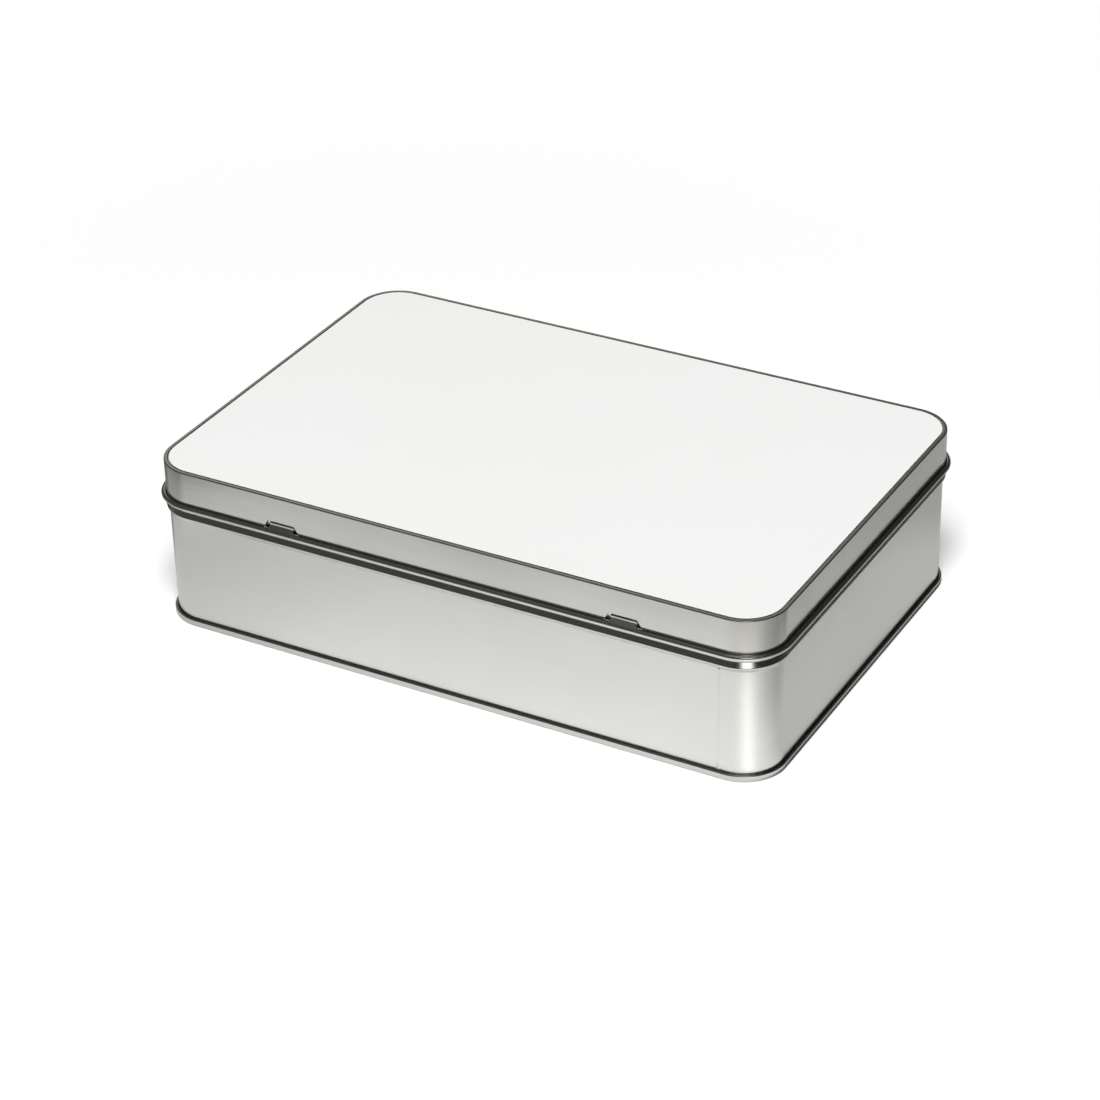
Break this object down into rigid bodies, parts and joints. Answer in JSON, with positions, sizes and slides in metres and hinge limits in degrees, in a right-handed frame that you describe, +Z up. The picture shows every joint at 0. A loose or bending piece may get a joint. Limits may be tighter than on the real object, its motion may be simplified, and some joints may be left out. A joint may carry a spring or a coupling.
{
  "type": "card game tin",
  "caption": "Shallow rectangular tin box with a full lid on a rear pinless hinge, a recessed blank plate in the lid, a stop bead and a double-seamed base; stores decks of cards and small game pieces",
  "frame": {"origin": "on the plane the tin stands on, under the middle of its outline", "axes": "X along the long side, Y from the opening edge at -Y to the hinge edge at +Y, Z up"},
  "size_m": [0.2014, 0.1346, 0.0516],
  "materials": {
    "body_tinplate": "satin tinplate with fine rolling lines",
    "bottom_tinplate": "satin tinplate with fine rolling lines",
    "lid_tinplate": "satin tinplate with fine rolling lines",
    "white_coating": "even semi-matte white coating on thin aluminium",
    "adhesive": "clear transfer film, slightly milky"
  },
  "bodies": {
    "body": {"body_wall": "body_tinplate", "bottom_panel": "bottom_tinplate"},
    "lid": {"lid_shell": "lid_tinplate", "print_plate": "white_coating", "adhesive_sheet": "adhesive"}
  },
  "joints": [
    {"name": "lid_hinge", "type": "hinge", "parent": "body", "child": "lid", "pos_m": [0, 0.06632, 0.0404], "axis": [-1, 0, 0], "range_deg": [0, 110]}
  ]
}
